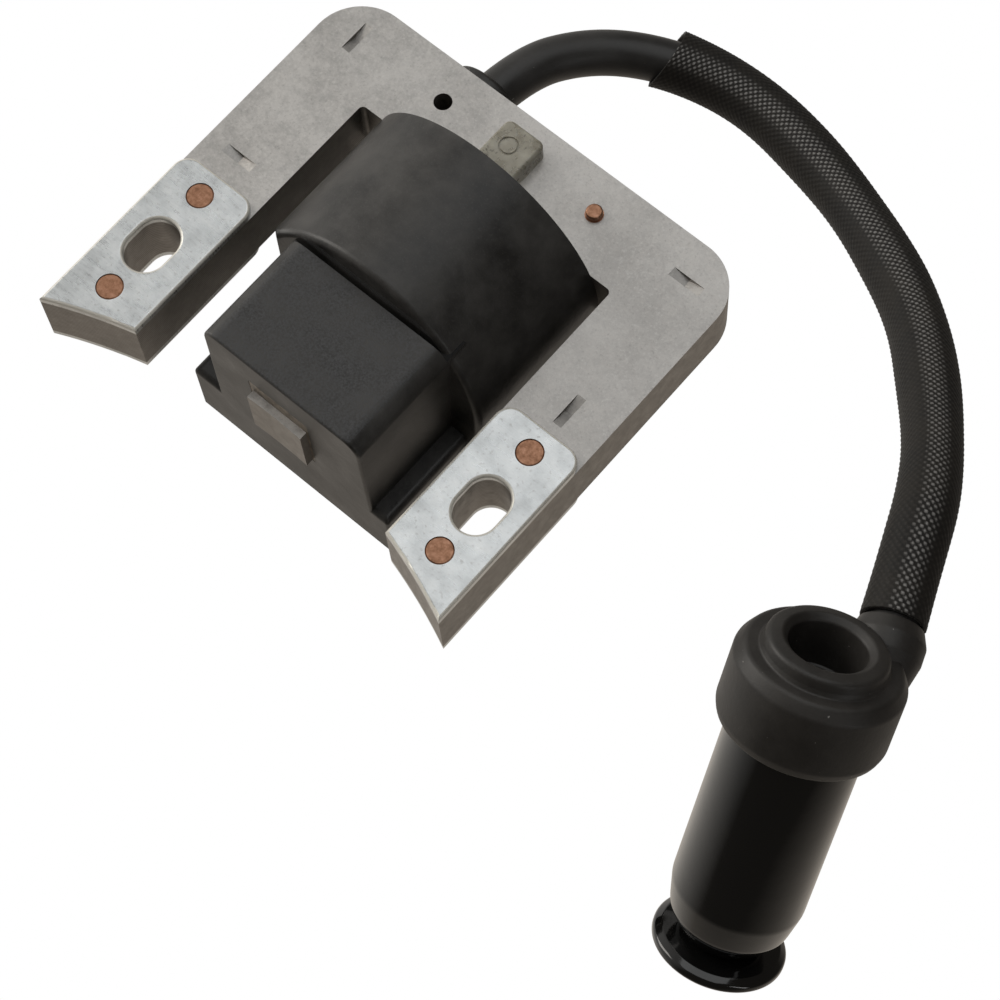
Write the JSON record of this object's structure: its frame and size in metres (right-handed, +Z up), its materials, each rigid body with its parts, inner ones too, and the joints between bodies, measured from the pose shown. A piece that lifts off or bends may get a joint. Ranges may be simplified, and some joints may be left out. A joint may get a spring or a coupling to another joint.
{
  "type": "ignition coil",
  "caption": "Small-engine ignition coil: E-shaped laminated core with slotted legs, moulded coil case, braided high-tension lead and right-angle plug boot with a pull handle.",
  "frame": {"origin": "on the surface the coil stands on, under the middle of its box without the lead and plug boot", "axes": "+Z up; X across the core's legs; -Y towards the flywheel, +Y towards the core's back bar"},
  "size_m": [0.1378, 0.1154, 0.052],
  "materials": {
    "core_steel": "satin, mottled sheet",
    "zinc_plate": "bright zinc",
    "copper": "dull copper",
    "case_plastic": "black satin moulding",
    "potting": "black potting resin",
    "epoxy": "brown epoxy",
    "natural_nylon": "natural nylon, milky",
    "bobbin_nylon": "moulded nylon",
    "enamelled_wire": "enamelled copper wire",
    "board_laminate": "glass laminate",
    "component_plastic": "moulded component",
    "tinned_metal": "tinned",
    "lead_rubber": "black satin insulation",
    "sleeve_braid": "black braided yarn",
    "handle_plastic": "glossy black",
    "boot_rubber": "matt black rubber"
  },
  "bodies": {
    "coil": {"lamination_stack": "core_steel", "left_top_plate": "zinc_plate", "left_bottom_plate": "zinc_plate", "right_top_plate": "zinc_plate", "right_bottom_plate": "zinc_plate", "pole_rivets": "copper", "back_bar_rivet": "copper", "coil_case": "case_plastic", "potting_fill": "potting", "pole_seal": "epoxy", "locking_tab": "natural_nylon", "charge_bobbin": "bobbin_nylon", "charge_coil": "enamelled_wire", "primary_bobbin": "bobbin_nylon", "primary_winding": "enamelled_wire", "secondary_bobbin": "bobbin_nylon", "secondary_winding": "enamelled_wire", "circuit_board": "board_laminate", "storage_capacitor": "component_plastic", "thyristor": "component_plastic", "rectifier_diodes": "component_plastic", "board_resistors": "component_plastic", "trigger_coil": "enamelled_wire", "trigger_core": "core_steel", "ground_strap": "tinned_metal", "stop_terminal": "tinned_metal", "tower_pin": "tinned_metal", "ht_lead": "lead_rubber", "lead_conductor": "tinned_metal", "braided_sleeve": "sleeve_braid", "lead_grommet": "lead_rubber", "lead_end_pin": "tinned_metal"},
    "plug_boot": {"handle_knob": "handle_plastic", "pull_handle": "handle_plastic", "boot_collar": "boot_rubber", "boot_terminal": "tinned_metal", "plug_clip": "tinned_metal", "clip_seat": "bobbin_nylon"}
  },
  "joints": [
    {"name": "boot_swivel", "type": "hinge", "parent": "coil", "child": "plug_boot", "pos_m": [0.08615, 0.00035, 0.03847], "axis": [0.387, -0.9221, 0], "range_deg": [-90, 90]}
  ]
}
